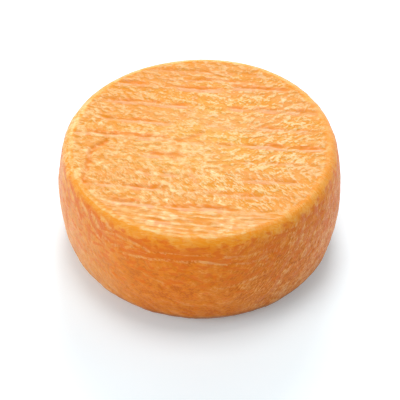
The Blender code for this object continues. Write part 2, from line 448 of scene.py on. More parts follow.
def strokes(flat, turn, length, width, offset):
    """Stretched noise whose long way is turned from the first axis by an angle in degrees."""
    angle = math.radians(turn)
    along = flat[:, 0] * math.cos(angle) + flat[:, 1] * math.sin(angle)
    across = flat[:, 1] * math.cos(angle) - flat[:, 0] * math.sin(angle)
    return noise_at(np.stack([along, across, np.zeros(len(flat))], axis=1), (length, width, 1.0), offset)


# %% [markdown]
# ## Where each kind of skin lies
#
# A zone is a mask from 0 to 1 with a soft, wandering border. The zones are stored on the mesh with the rest
# of the masks, so that the fine strokes of the material turn exactly where the modelled ridges do.
#
# Each zone rises between its first two values and falls between its last two. Those of the face are metres
# from its middle, and those of the side are degrees round the wheel, with the front at -90.

# %% The zones of the face
FRONT_ZONE = (0.016, 0.028, 0.052, 0.062)
RIGHT_RISE = (0.008, 0.034)
EDGE_RISE = (0.050, 0.060)
ZONE_WANDER = 0.008


def brushed_zones(flat_racked):
    """Where the brush turned the ridges: towards the front, right of the middle, and at the front edge."""
    across = flat_racked[:, 1] + ZONE_WANDER * noise_at(flat_racked, (0.025, 0.025, 1.0), 2.9)
    front = inside(-across, *FRONT_ZONE)
    right = smooth_step(flat_racked[:, 0], *RIGHT_RISE) * (1.0 - front)
    return front, right, smooth_step(-across, *EDGE_RISE)


# %% The zones of the side
FIBRE_ZONE = (-88.0, -66.0, 30.0, 60.0)
LEFT_PULL_FALL = (-135.0, -112.0)
PULL_WANDER = 0.012
# where the painted highlight on the rim's lip, the painted sheen on the shoulder and the paler left side lie
LIP_HIGHLIGHT_ZONE = (-225.0, -190.0, -78.0, -58.0)
SHOULDER_SHEEN_ZONE = (-215.0, -195.0, -170.0, -155.0)
PALE_LEFT_ZONE = (98.0, 150.0, 200.0, 240.0)  # counted the other way round


def pulled_zones(flat_side):
    """Where on the side the cloth pulled the skin askew: right of the front, and left of it."""
    wander = PULL_WANDER * noise_at(flat_side, (0.03, 0.03, 1.0), 6.6)
    degrees = np.degrees((flat_side[:, 0] + wander) / WHEEL_RADIUS)
    return inside(degrees, *FIBRE_ZONE), 1.0 - smooth_step(degrees, *LEFT_PULL_FALL)


def highlight_and_pale_zones(flat_side):
    """Where the painted highlight on the rim's lip, the painted sheen on the shoulder and the paler left side
    lie.
    """
    degrees = np.degrees(flat_side[:, 0] / WHEEL_RADIUS)
    degrees = np.where(degrees > 90.0, degrees - 360.0, degrees)
    broken = noise_at(flat_side * np.array([1.0, 0.0, 1.0]), (0.014, 1.0, 1.0), 19.4)
    on_lip = np.clip((0.15 + 0.85 * inside(degrees, *LIP_HIGHLIGHT_ZONE)) * (0.8 + 0.6 * broken), 0.0, 1.0)
    return on_lip, inside(degrees, *SHOULDER_SHEEN_ZONE), inside(-degrees, *PALE_LEFT_ZONE)


# %% [markdown]
# ## The relief of the face
#
# Broad swells come first, and the ridges ride on them. The grooves and the folds then cut into both. Where a
# bar of the rack pressed, the ridges are flatter too.


# %% Build the relief of the face
def face_ridges(flat_racked, front, right, edge):
    """The ridges of the top face, from 0 in a hollow to 1 on a crest."""
    wandering = bent(flat_racked, 0.0016, 0.007, 5.5)
    field = front * strokes(wandering, FRONT_TURN, RIDGE_LENGTH, 0.8 * RIDGE_WIDTH, 17.3)
    field += right * strokes(wandering, RIGHT_TURN, RIDGE_LENGTH, RIDGE_WIDTH, 29.4)
    field += (1.0 - front - right) * strokes(wandering, BACK_TURN, RIDGE_LENGTH, RIDGE_WIDTH, 37.6)
    field += 0.55 * noise_at(wandering, (0.0021, 0.0017, 1.0), 41.35)
    streaks = strokes(flat_racked, EDGE_TURN, 2.6 * RIDGE_LENGTH, 0.9 * RIDGE_WIDTH, 53.2)
    field = (1.0 - edge) * field + edge * 1.3 * streaks
    patches = noise_at(flat_racked, (0.020, 0.012, 1.0), 23.1)
    return smooth_step(field + 0.25 * patches, -0.42, 0.50)


def face_relief(points):
    """The relief of the top face, and the masks that go with it."""
    racked = in_rack_directions(points)
    flat_racked = racked * np.array([1.0, 1.0, 0.0])
    behind_groove, pressed = nearest_groove(racked)
    marks = pressed * np.exp(-((behind_groove / BAR_HALF_WIDTH) ** 2))
    drawn = folds(points[:, :2], FACE_FOLDS)
    front, right, edge = brushed_zones(flat_racked)
    ridge = face_ridges(flat_racked, front, right, edge)
    pressed_flat = 1.0 - 0.4 * np.clip(marks, 0.0, 1.0)
    swells = wrinkles(racked, (WRINKLE_LENGTH, WRINKLE_WIDTH, 1.0), 3.1)
    relief = FACE_WRINKLE * (swells - 0.5) - BAR_DEPTH * marks - drawn
    relief += RIDGE_HEIGHT * (ridge - 0.5) * pressed_flat
    masks = {
        "ridge": ridge * pressed_flat,
        "front": front,
        "right": right,
        "edge": edge,
        "behind_groove": behind_groove,
        "pressed": pressed,
        "fold": drawn,
    }
    return relief, masks


# %% [markdown]
# ## The relief of the side
#
# The side is gentler: wide upright swells, short ridges that the cloth pulled askew, hair-thin creases
# between them, and the drawn folds.


# %% Build the relief of the side
def side_relief(points):
    """The relief of the side, and the masks that go with it."""
    flat_side = rolled_out(points)
    wandering = bent(flat_side, 0.004, 0.012, 3.3)
    fibres, left_pull = pulled_zones(flat_side)
    ridge = fibres * strokes(wandering, FIBRE_TURN, 0.009, 0.0026, 71.6)
    ridge += left_pull * strokes(wandering, LEFT_TURN, 0.008, 0.0028, 83.1)
    ridge += (1.0 - fibres - left_pull) * strokes(wandering, MIDDLE_TURN, 0.007, 0.0032, 90.7)
    ridge = smooth_step(ridge + 0.6 * noise_at(wandering, (0.003,) * 3, 8.4), -0.45, 0.5)
    creases = worms(wandering, 0.011, 0.008, 0.07, 61.3)
    drawn, from_fold, sharp = side_folds(points)
    upright = (2 * WRINKLE_WIDTH, 2 * WRINKLE_WIDTH, WRINKLE_LENGTH)
    relief = SIDE_WRINKLE * (wrinkles(points, upright, 11.7) - 0.5)
    relief += SIDE_RIDGE_HEIGHT * (ridge - 0.5) - drawn - SIDE_CREASE_DEPTH * creases
    lip_highlight, shoulder_sheen, pale_left = highlight_and_pale_zones(flat_side)
    masks = {
        "ridge": ridge,
        "from_fold": from_fold,
        "sharp": sharp,
        "fibres": fibres,
        "left_pull": left_pull,
        "lip_highlight": lip_highlight,
        "shoulder_sheen": shoulder_sheen,
        "pale_left": pale_left,
    }
    return relief, masks


# %% [markdown]
# ## Face and side in one skin
#
# How far the plain form faces up says what is face and what is side. The smooth shoulder between them gets
# neither relief, and its inner border is ragged, as the wrinkles of the face stop there unevenly. The base
# keeps no relief at all, because the wheel stands on it.

# %% Put the relief together
FACE_SLOPE = (0.55, 0.98)
SIDE_SLOPE = (0.10, 0.5)
FOLD_TONE = 1200  # a fold of the face has its full tone where it is 1/1200 of a metre deep


def ragged_face(points, up):
    """1 on the face and 0 elsewhere, with a ragged border just inside the shoulder."""
    ragged = noise_at(points, (0.009, 0.009, 0.009), 15.2)
    ragged = ragged + 0.6 * noise_at(points, (0.004, 0.004, 0.004), 48.9)
    reach = np.hypot(points[:, 0], points[:, 1]) + RIM_RAGGED * ragged
    inside_rim = 1.0 - smooth_step(reach, FACE_RADIUS - 0.001, FACE_RADIUS + 0.0015)
    return smooth_step(up, *FACE_SLOPE) * inside_rim


def skin(points, normals):
    """The relief of the skin, and the masks that its colour follows."""
    up = normals[:, 2]
    on_face = ragged_face(points, up)
    on_side = smooth_step(1.0 - np.abs(up), *SIDE_SLOPE)
    face, face_masks = face_relief(points)
    side, side_masks = side_relief(points)
    masks = {**face_masks, **side_masks, "face": on_face, "upward": up}
    masks["ridge"] = face_masks["ridge"] * on_face + side_masks["ridge"] * (1.0 - on_face)
    masks["pressed"] = face_masks["pressed"] * on_face
    masks["fold"] = np.clip(face_masks["fold"] * on_face * FOLD_TONE, 0, 1)
    masks["sharp"] = side_masks["sharp"] * on_side
    return face * on_face + side * on_side, masks


relief, masks = skin(points, normals)
shaped = sagged(points) + normals * relief[:, None]
print("the relief goes from", round(relief.min() * 1000, 2), "to", round(relief.max() * 1000, 2), "mm")

# %% [markdown]
# ## Fitting the skin to the solid
#
# The finished skin must not stand outside the box of the CAD solid, so it is centred on the same spot and
# its highest ridges are trimmed at the box. Two sets of places are stored beside the masks: those turned
# with the rack, for strokes on the face, and those of the side laid flat, for strokes that run round it.

# %% Settle the skin on the solid and store its masks
shaped[:, :2] -= (shaped[:, :2].min(axis=0) + shaped[:, :2].max(axis=0)) / 2
shaped = np.clip(shaped, np.array(low), np.array(high))
for vertex, settled in zip(rind_mesh.vertices, shaped):
    vertex.co = settled
rind_mesh.shade_smooth()
for name, values in masks.items():
    attribute = rind_mesh.attributes.new(name, "FLOAT", "POINT")
    attribute.data.foreach_set("value", values.astype(np.float32))
for name, places in (("racked", in_rack_directions(points)), ("rolled_out", rolled_out(points))):
    attribute = rind_mesh.attributes.new(name, "FLOAT_VECTOR", "POINT")
    attribute.data.foreach_set("vector", places.astype(np.float32).ravel())
rind_mesh.update()

wheel = bpy.data.objects.new("rind", rind_mesh)
bpy.context.collection.objects.link(wheel)
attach(wheel, "root")
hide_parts("cheese_wheel")
print("stored", ", ".join(sorted(masks)))

# %% [markdown]
# ## Building blocks for the rind's material
#
# The face and the side of the wheel share the same effects at different sizes, so each effect is one node
# group with named inputs. The helpers below only save typing: they add a node, fill its inputs, and hand
# back its output.


# %% Helpers for node trees
def place(tree, kind, inputs=None, **settings):
    """Adds a node. An input that is a socket is linked, and anything else is set as its value."""
    made = tree.nodes.new(kind)
    for name, value in settings.items():
        setattr(made, name, value)
    for key, value in (inputs or {}).items():
        if isinstance(value, bpy.types.NodeSocket):
            tree.links.new(value, made.inputs[key])
        else:
            made.inputs[key].default_value = value
    return made


def maths(tree, operation, *values, clamp=False):
    """The output of a Math node."""
    made = place(tree, "ShaderNodeMath", dict(enumerate(values)), operation=operation, use_clamp=clamp)
    return made.outputs[0]


def vectors(tree, operation, *values):
    """The vector output of a Vector Math node."""
    return place(tree, "ShaderNodeVectorMath", dict(enumerate(values)), operation=operation).outputs[0]


def blend(tree, factor, first, second):
    """The colour that goes from first to second as factor goes from 0 to 1."""
    made = place(tree, "ShaderNodeMix", {0: factor, 6: first, 7: second}, data_type="RGBA")
    return made.outputs[2]


def between(tree, value, low, high):
    """0 below low, 1 above high, and smooth between them."""
    inputs = {"Value": value, "From Min": low, "From Max": high}
    return place(tree, "ShaderNodeMapRange", inputs, interpolation_type="SMOOTHSTEP").outputs[0]


def from_to(tree, value, start, end):
    """Start where value is 0, end where it is 1, and even steps between them."""
    return place(tree, "ShaderNodeMapRange", {"Value": value, "To Min": start, "To Max": end}).outputs[0]


def blend_values(tree, factor, first, second):
    """The value that goes from first to second as factor goes from 0 to 1."""
    return place(tree, "ShaderNodeMix", {0: factor, 2: first, 3: second}, data_type="FLOAT").outputs[0]


def attribute_of(tree, name, output="Fac"):
    """A value that the mesh stores for each of its points."""
    return place(tree, "ShaderNodeAttribute", attribute_name=name).outputs[output]


def new_group(name, inputs, outputs):
    """An empty node group, its input sockets by name, and its output node."""
    tree = bpy.data.node_groups.new(name, "ShaderNodeTree")
    for label, kind, value in inputs:
        socket = tree.interface.new_socket(name=label, in_out="INPUT", socket_type=kind)
        if value is not None:
            socket.default_value = value
    for label, kind in outputs:
        tree.interface.new_socket(name=label, in_out="OUTPUT", socket_type=kind)
    entry = tree.nodes.new("NodeGroupInput")
    return tree, {socket.name: socket for socket in entry.outputs}, tree.nodes.new("NodeGroupOutput")


def use_group(tree, group, inputs):
    """The output of a node group that is placed with its own values."""
    return place(tree, "ShaderNodeGroup", inputs, node_tree=group).outputs[0]


FLOAT = "NodeSocketFloat"
VECTOR = "NodeSocketVector"

# %% [markdown]
# ### Smears
#
# Brushing with brine spreads the orange culture unevenly. A smear is stretched noise, cut between a low and
# a high level, so that one group gives both broad cloudy patches and thin streaks.


# %% The smear group
def smear_group():
    """Stretched noise from 0 to 1, with a length along the first axis and a width along the second."""
    tree, entry, out = new_group(
        "smear",
        [
            ("Vector", VECTOR, None),
            ("Length", FLOAT, 0.02),
            ("Width", FLOAT, 0.008),
            ("Detail", FLOAT, 3.0),
            ("Offset", FLOAT, 0.0),
            ("Low", FLOAT, 0.4),
            ("High", FLOAT, 0.6),
        ],
        [("Amount", FLOAT)],
    )
    size = place(tree, "ShaderNodeCombineXYZ", {0: entry["Length"], 1: entry["Width"], 2: entry["Width"]})
    stretched = vectors(tree, "DIVIDE", entry["Vector"], size.outputs[0])
    moved = vectors(tree, "ADD", stretched, entry["Offset"])
    cloud = place(tree, "ShaderNodeTexNoise", {"Vector": moved, "Scale": 1.0, "Detail": entry["Detail"]})
    amount = between(tree, cloud.outputs["Fac"], entry["Low"], entry["High"])
    tree.links.new(amount, out.inputs["Amount"])
    return tree


smear = smear_group()
print("the smear group has", len(smear.nodes), "nodes")

# %% [markdown]
# ### Grain
#
# The modelled ridges stop at about a millimetre. Below that the skin still puckers into a fine grain of
# short strokes. One group makes it, with the way the strokes point as an input, and its amount goes both
# into the colour and into the bump, so that each pucker is paler on its crest.


# %% The grain group
def grain_group():
    """Fine strokes of the skin, from 0 in a hollow to 1 on a crest."""
    tree, entry, out = new_group(
        "grain",
        [
            ("Vector", VECTOR, None),
            ("Turn", FLOAT, 0.0),
            ("Length", FLOAT, 0.002),
            ("Width", FLOAT, 0.001),
            ("Roughness", FLOAT, 0.6),
            ("Contrast", FLOAT, 0.14),
            ("Crevice", FLOAT, 0.4),
        ],
        [("Height", FLOAT)],
    )
    turn_inputs = {"Vector": entry["Vector"], "Angle": maths(tree, "RADIANS", entry["Turn"])}
    turned = place(tree, "ShaderNodeVectorRotate", turn_inputs, rotation_type="Z_AXIS").outputs[0]
    size = place(tree, "ShaderNodeCombineXYZ", {0: entry["Length"], 1: entry["Width"], 2: entry["Width"]})
    stretched = vectors(tree, "DIVIDE", turned, size.outputs[0])
    noise_inputs = {"Vector": stretched, "Scale": 1.0, "Detail": 3.0, "Roughness": entry["Roughness"]}
    cloud = place(tree, "ShaderNodeTexNoise", noise_inputs)
    low = maths(tree, "SUBTRACT", 0.5, entry["Contrast"])
    high = maths(tree, "ADD", 0.5, entry["Contrast"])
    puckers = between(tree, cloud.outputs["Fac"], low, high)
    shifted = vectors(tree, "ADD", stretched, (5.3, 8.1, 0.0))
    winding = place(tree, "ShaderNodeTexNoise", {"Vector": shifted, "Scale": 0.6, "Detail": 2.0})
    from_crevice = maths(tree, "ABSOLUTE", maths(tree, "SUBTRACT", winding.outputs["Fac"], 0.5))
    crevice = maths(tree, "SUBTRACT", 1.0, between(tree, from_crevice, 0.0, 0.05))
    cut = maths(tree, "MULTIPLY", crevice, entry["Crevice"])
    tree.links.new(maths(tree, "SUBTRACT", puckers, cut), out.inputs["Height"])
    return tree


grain = grain_group()
print("the grain group has", len(grain.nodes), "nodes")

# %% [markdown]
# ### Pits and flecks
#
# Up close the skin has pinprick pits, and here and there a dry pale fleck. Both are small spots at chance
# places: the cells of a Voronoi texture, of which only some are kept.


# %% The speck group
def speck_group():
    """Small round spots: 1 in a spot and 0 outside, with a share of the cells left empty."""
    tree, entry, out = new_group(
        "speck",
        [
            ("Vector", VECTOR, None),
            ("Spacing", FLOAT, 0.003),
            ("Size", FLOAT, 0.2),
            ("Share", FLOAT, 0.5),
        ],
        [("Spot", FLOAT)],
    )
    scale = maths(tree, "DIVIDE", 1.0, entry["Spacing"])
    cells = place(tree, "ShaderNodeTexVoronoi", {"Vector": entry["Vector"], "Scale": scale}, feature="F1")
    near = maths(tree, "SUBTRACT", 1.0, between(tree, cells.outputs["Distance"], 0.0, entry["Size"]))
    draw = place(tree, "ShaderNodeSeparateColor", {0: cells.outputs["Color"]})
    kept = maths(tree, "LESS_THAN", draw.outputs[0], entry["Share"])
    tree.links.new(maths(tree, "MULTIPLY", near, kept), out.inputs["Spot"])
    return tree


speck = speck_group()
print("the speck group has", len(speck.nodes), "nodes")

# %% [markdown]
# ## The tones of the rind
#
# A rind has no single colour. On the face an apricot skin lies between deep orange hollows, where the wash
# settled, and pale ridges that have dried. The side has the same three tones, but redder, because it stays
# moister. Each of the other tones belongs to one place, such as the ochre of the thin skin on the shoulder.
#
# They could be painted on an image. As plain values that masks blend they stay sharp at any distance, and
# the colour always agrees with the relief.

# %% The tones
HOLLOW = (0.77, 0.265, 0.002, 1.0)
RIND = (0.78, 0.370, 0.022, 1.0)
CREST = (0.81, 0.56, 0.220, 1.0)
EDGE_ORANGE = (0.76, 0.265, 0.004, 1.0)
# deep orange of the face's folds, and also the painted shade on the far flank of a groove
DEEP_ORANGE_AND_GROOVE_SHADE = (0.79, 0.230, 0.001, 1.0)
# pink of the culture's clouds, and also the painted light on the near flank of a groove
PINK_AND_GROOVE_LIGHT = (0.78, 0.33, 0.12, 1.0)
# the painted highlight along the lip of a groove
GROOVE_HIGHLIGHT = (0.81, 0.45, 0.22, 1.0)
PIT_BROWN = (0.60, 0.18, 0.02, 1.0)

SIDE_HOLLOW = (0.67, 0.130, 0.002, 1.0)
SIDE_RIND = (0.82, 0.225, 0.006, 1.0)
SIDE_CREST = (0.94, 0.38, 0.075, 1.0)
UNDER_RIM = (0.92, 0.25, 0.004, 1.0)
PEACH = (0.88, 0.43, 0.10, 1.0)
# soaked spots under the rim, and also the painted shade beside a sharp fold of the side
SOAKED_AND_FOLD_SHADE = (0.82, 0.165, 0.001, 1.0)
# dry flecks, and also the painted highlight on fibre crests and on the lips of the side's folds
CREAM_AND_HIGHLIGHT = (0.95, 0.62, 0.28, 1.0)
# painted shade on the foot, where it turns under towards the table
FOOT_SHADE_BROWN = (0.30, 0.085, 0.004, 1.0)

SHOULDER_DEEP = (0.95, 0.33, 0.012, 1.0)
SHOULDER_OCHRE = (0.97, 0.40, 0.035, 1.0)
# the painted highlight on the rim's lip and the painted sheen on the shoulder
LIP_HIGHLIGHT_CREAM = (0.93, 0.66, 0.28, 1.0)

# %% [markdown]
# ## Finding a place on the rind
#
# Most places are found in the same few ways: near a line, near a spot, or between two levels. A border
# drawn by one of these alone would be as smooth as a ruler's, so some rough noise is added to the distance
# first.


# %% Helpers for masks
def three_tones(tree, level, low, middle, high):
    """Low up to a level of 0, middle at a half and high from 1."""
    lower = blend(tree, between(tree, level, 0.0, 0.5), low, middle)
    return blend(tree, between(tree, level, 0.5, 1.0), lower, high)


def summed(tree, *parts):
    """A first number, plus each socket times its own share."""
    total = parts[0]
    for socket, share in parts[1:]:
        total = maths(tree, "MULTIPLY_ADD", socket, share, total)
    return total


def product(tree, *factors):
    """The product of sockets and numbers, held between 0 and 1."""
    total = factors[0]
    for factor in factors[1:]:
        total = maths(tree, "MULTIPLY", total, factor, clamp=True)
    return total


def near_zero(tree, value, low, high):
    """1 where value is within low of 0, and an even fall to 0 at high."""
    return maths(tree, "SUBTRACT", 1.0, between(tree, maths(tree, "ABSOLUTE", value), low, high))


def distance_to(tree, places, spot):
    """How far each place is from one spot."""
    return place(tree, "ShaderNodeVectorMath", {0: places, 1: spot}, operation="DISTANCE").outputs["Value"]


def rough_edge(tree, vector, length, width):
    """Noise from -1 to 1 that is added to a distance, so that the edge drawn at it is broken."""
    inputs = {"Vector": vector, "Length": length, "Width": width, "Offset": 6.3, "Low": 0.30, "High": 0.70}
    return maths(tree, "MULTIPLY_ADD", use_group(tree, smear, inputs), 2.0, -1.0)


# %% [markdown]
# ## How high the skin of the face stands
#
# One value says how high up a pucker or a ridge each spot is, and both the tone and the bump follow it. On
# the real face the crests run together into pale islands with ragged borders. So the modelled ridges and
# the fine strokes are mixed first, and that mix is cut at a level. The skin is calmest near the middle of
# the face. The left and the back right stay moist, so fewer crests have dried pale there.

# %% The puckers of the face
PUCKER_LENGTH = 0.0021
PUCKER_WIDTH = 0.0009
STREAK_LENGTH = 0.0070  # the brush drew the puckers out at the front edge
CALM_SPOT = (-0.006, 0.004, 0.076)  # the skin is smoothest here, and more puckered away from it
MOIST_SPOT = (0.037, 0.045, 0.076)  # the fewest ridges have dried pale here


def face_level(tree):
    """How high each spot of the face stands, from 0 in a hollow to 1 on a crest, with the fine grain."""
    racked = attribute_of(tree, "racked", "Vector")
    pucker = {"Vector": racked, "Length": PUCKER_LENGTH, "Width": PUCKER_WIDTH}
    fine = use_group(tree, grain, {**pucker, "Turn": -BACK_TURN})
    for zone, length, turn in (
        ("right", PUCKER_LENGTH, RIGHT_TURN),
        ("front", PUCKER_LENGTH, FRONT_TURN),
        ("edge", STREAK_LENGTH, EDGE_TURN),
    ):
        turned = use_group(tree, grain, {**pucker, "Length": length, "Turn": -turn})
        fine = blend_values(tree, attribute_of(tree, zone), fine, turned)
    blotch_inputs = {"Length": 0.008, "Width": 0.005, "Offset": 9.1, "Low": 0.36, "High": 0.64}
    blotch = use_group(tree, smear, {"Vector": racked, **blotch_inputs})
    mound = summed(tree, 0.0, (attribute_of(tree, "ridge"), 0.50), (fine, 0.35), (blotch, 0.15))
    island = between(tree, mound, 0.40, 0.60)
    level = summed(tree, -0.12, (island, 0.58), (fine, 0.68), (blotch, 0.12))
    from_calm = between(tree, distance_to(tree, racked, CALM_SPOT), 0.010, 0.055)
    contrast = maths(tree, "MULTIPLY_ADD", from_calm, 0.6, 0.6)
    leftward = maths(tree, "MULTIPLY", place(tree, "ShaderNodeSeparateXYZ", {0: racked}).outputs[0], -1.0)
    left = between(tree, leftward, -0.005, 0.055)
    from_moist = between(tree, distance_to(tree, racked, MOIST_SPOT), 0.012, 0.042)
    raised = summed(tree, 0.39, (left, -0.10), (from_moist, 0.14))
    return maths(tree, "MULTIPLY_ADD", maths(tree, "SUBTRACT", level, 0.5), contrast, raised)


# %% [markdown]
# ## How high the skin of the side stands
#
# The side is smoother than the face, and its puckers are longer. Where the cloth pulled the skin askew they
# stand out most, so the fine strokes count for more in those zones and for less in between.

# %% The puckers of the side
FIBRE_LENGTH = 0.0030
SHORT_FIBRE_LENGTH = 0.0018


def side_level(tree):
    """How high each spot of the side stands, from about 0 in a hollow to about 1 on a crest."""
    laid_flat = attribute_of(tree, "rolled_out", "Vector")
    fibre = {"Vector": laid_flat, "Length": FIBRE_LENGTH, "Width": PUCKER_WIDTH, "Crevice": 0.2}
    fine = use_group(tree, grain, {**fibre, "Length": SHORT_FIBRE_LENGTH, "Turn": -MIDDLE_TURN})
    for zone, turn in (("fibres", FIBRE_TURN), ("left_pull", LEFT_TURN)):
        turned = use_group(tree, grain, {**fibre, "Turn": -turn})
        fine = blend_values(tree, attribute_of(tree, zone), fine, turned)
    blotch_inputs = {"Length": 0.012, "Width": 0.009, "Offset": 4.4, "Low": 0.36, "High": 0.64}
    blotch = use_group(tree, smear, {"Vector": laid_flat, **blotch_inputs})
    pulled = summed(tree, 0.38, (attribute_of(tree, "fibres"), 0.62), (attribute_of(tree, "left_pull"), 0.22))
    fine = maths(tree, "MULTIPLY", maths(tree, "SUBTRACT", fine, 0.4), pulled)
    return summed(tree, 0.10, (attribute_of(tree, "ridge"), 0.28), (fine, 1.0), (blotch, 0.28))


# %% [markdown]
# ## The colour of a groove
#
# A groove is painted with light and shade: painted light in pink on its near flank, which faces the lamps
# behind the wheel, a painted highlight along its lip, and painted shade in deep orange on the far flank,
# which faces away from them. Each band is a row with how far behind the middle of the groove it lies, how
# far it is full and how far it reaches, its strength and its tone.

# %% The bands of a groove
# painted light on the near flank, a painted highlight on the lip, painted shade on the far flank
GROOVE_BANDS = (
    (-0.0017, 0.0007, 0.0018, 0.8, PINK_AND_GROOVE_LIGHT),
    (0.0014, 0.0009, 0.0020, 1.1, DEEP_ORANGE_AND_GROOVE_SHADE),
    (-0.0004, 0.0001, 0.0005, 0.6, GROOVE_HIGHLIGHT),
)
BAND_WANDER = 0.0007  # the borders of the bands are broken by this much


def with_grooves(tree, colour):
    """The colour with each groove's painted light, highlight and shade, narrower where the bar pressed less.
    """
    pressed = attribute_of(tree, "pressed")
    torn = rough_edge(tree, attribute_of(tree, "racked", "Vector"), 0.009, 0.0022)
    behind = maths(tree, "MULTIPLY_ADD", torn, BAND_WANDER, attribute_of(tree, "behind_groove"))
    behind = maths(tree, "DIVIDE", behind, maths(tree, "MULTIPLY_ADD", pressed, 0.7, 0.5))
    for middle, full, reach, strength, tone in GROOVE_BANDS:
        band = near_zero(tree, maths(tree, "SUBTRACT", behind, middle), full, reach)
        colour = blend(tree, product(tree, band, pressed, strength), colour, tone)
    return colour


# %% [markdown]
# ## The colour of the face
#
# The three tones follow the height of the skin. Over them lie broad pink clouds of the culture, a slow
# change to orange away from the palest spot, the grooves, the drawn folds, and the pits.

# %% The top face
# the palest spot is partly the face's own tone and partly a painted glint at the front right
PALE_SPOT = (0.022, 0.012, 0.076)  # the face is palest here, and grows more orange away from it
CLOUD = {"Length": 0.035, "Width": 0.016, "Low": 0.40, "High": 0.62}
PITS = {"Spacing": 0.0032, "Size": 0.16, "Share": 0.45}


def face_colour(tree, level):
    """The colour of the top face."""
    racked = attribute_of(tree, "racked", "Vector")
    colour = three_tones(tree, level, HOLLOW, RIND, CREST)
    cloud = use_group(tree, smear, {"Vector": racked, **CLOUD})
    pink = summed(tree, 0.0, (cloud, 0.30), (attribute_of(tree, "edge"), 0.20))
    colour = blend(tree, pink, colour, PINK_AND_GROOVE_LIGHT)
    outer = between(tree, distance_to(tree, racked, PALE_SPOT), 0.020, 0.088)
    colour = blend(tree, maths(tree, "MULTIPLY", outer, 0.64), colour, EDGE_ORANGE)
    colour = with_grooves(tree, colour)
    colour = blend(tree, maths(tree, "MULTIPLY", attribute_of(tree, "fold"), 0.95), colour, DEEP_ORANGE_AND_GROOVE_SHADE)
    pits = use_group(tree, speck, {"Vector": racked, **PITS})
    return blend(tree, maths(tree, "MULTIPLY", pits, 0.6), colour, PIT_BROWN)


# %% [markdown]
# ## The colour of the side
#
# The side is deeper and redder, orange just under the rim, and paler peach down the left. On the right,
# where the cloth combed the skin into fibres, the crests of the fibres are cream, partly their own pale skin
# and partly a painted highlight that grows towards the right edge. A few dry flecks lie all round.

# %% The side
FLECKS = {"Spacing": 0.010, "Size": 0.10, "Share": 0.30}


def side_colour(tree, level, upward):
    """The colour of the side."""
    laid_flat = attribute_of(tree, "rolled_out", "Vector")
    colour = three_tones(tree, level, SIDE_HOLLOW, SIDE_RIND, SIDE_CREST)
    under_rim = between(tree, upward, -0.05, 0.35)
    colour = blend(tree, maths(tree, "MULTIPLY", under_rim, 0.7), colour, UNDER_RIM)
    colour = blend(tree, maths(tree, "MULTIPLY", attribute_of(tree, "pale_left"), 0.38), colour, PEACH)
    way_round = place(tree, "ShaderNodeSeparateXYZ", {0: laid_flat}).outputs[0]
    far_right = between(tree, way_round, -0.120, -0.075)
    # fibre crests in cream: partly pale skin, partly a painted highlight stronger towards the right edge
    pale = maths(tree, "MULTIPLY_ADD", far_right, 0.30, 0.12)
    fibre_crests_and_highlight = product(tree, between(tree, level, 0.60, 1.10), attribute_of(tree, "fibres"), pale)
    colour = blend(tree, fibre_crests_and_highlight, colour, CREAM_AND_HIGHLIGHT)
    flecks = use_group(tree, speck, {"Vector": laid_flat, **FLECKS})
    return blend(tree, maths(tree, "MULTIPLY", flecks, 0.6), colour, CREAM_AND_HIGHLIGHT)


# %% [markdown]
# ## The folds of the side
#
# A sharp fold of the side has two bands beside its line. On one side the lip is paler, partly pale skin
# and partly painted highlight, and on the other side painted shade darkens it. With the signed distance,
# which is counted in half widths, each is one band beside the line.

# %% Lips and shades
LIP_MIDDLE = 0.7
SHADE_MIDDLE = -0.9


def with_folds(tree, colour, level):
    """The colour with the painted shade and painted highlight of each sharp fold of the side drawn into it.
    """
    sharp = attribute_of(tree, "sharp")
    torn = rough_edge(tree, attribute_of(tree, "rolled_out", "Vector"), 0.009, 0.006)
    from_fold = maths(tree, "MULTIPLY_ADD", torn, 0.35, attribute_of(tree, "from_fold"))
    # painted shade on one side of the fold's line
    shade = near_zero(tree, maths(tree, "SUBTRACT", from_fold, SHADE_MIDDLE), 0.5, 1.4)
    colour = blend(tree, product(tree, shade, sharp, 0.8), colour, SOAKED_AND_FOLD_SHADE)
    # on the other side the lip: partly pale skin, partly painted highlight
    lip = near_zero(tree, maths(tree, "SUBTRACT", from_fold, LIP_MIDDLE), 0.2, 0.9)
    highlight_share = between(tree, level, 0.05, 0.65)
    return blend(tree, product(tree, lip, sharp, highlight_share, 0.45), colour, CREAM_AND_HIGHLIGHT)


# %% [markdown]
# ## The shoulder, the lip and the foot
#
# The skin is thinnest on the shoulder, where the yellow paste shows through as ochre. Just below, the wash
# drips and leaves soaked spots. A painted highlight in cream runs along the upper edge, most of all at the
# left and the front, and a painted sheen pales the shoulder's crests, most of all at the left. The foot is
# darkened with painted shade where it turns under towards the table, less at the left. Each of these is
# found by how far the skin faces up there.

# %% Shoulder, lip and foot
SOAKED_SPOTS = {"Length": 0.0055, "Width": 0.0026, "Offset": 2.2, "Low": 0.49, "High": 0.58}
DRIP_SLOPE = 0.32
LIP_SLOPE = 0.955


def with_shoulder(tree, colour, shoulder, upward, level):
    """The colour with the ochre shoulder and the soaked spots below it."""
    ochre = blend(tree, between(tree, level, 0.0, 1.4), SHOULDER_DEEP, SHOULDER_OCHRE)
    colour = blend(tree, maths(tree, "MULTIPLY", shoulder, 0.9), colour, ochre)
    soaked = use_group(tree, smear, {"Vector": attribute_of(tree, "rolled_out", "Vector"), **SOAKED_SPOTS})
    below_rim = near_zero(tree, maths(tree, "SUBTRACT", upward, DRIP_SLOPE), 0.15, 0.45)
    return blend(tree, product(tree, below_rim, soaked, 0.9), colour, SOAKED_AND_FOLD_SHADE)


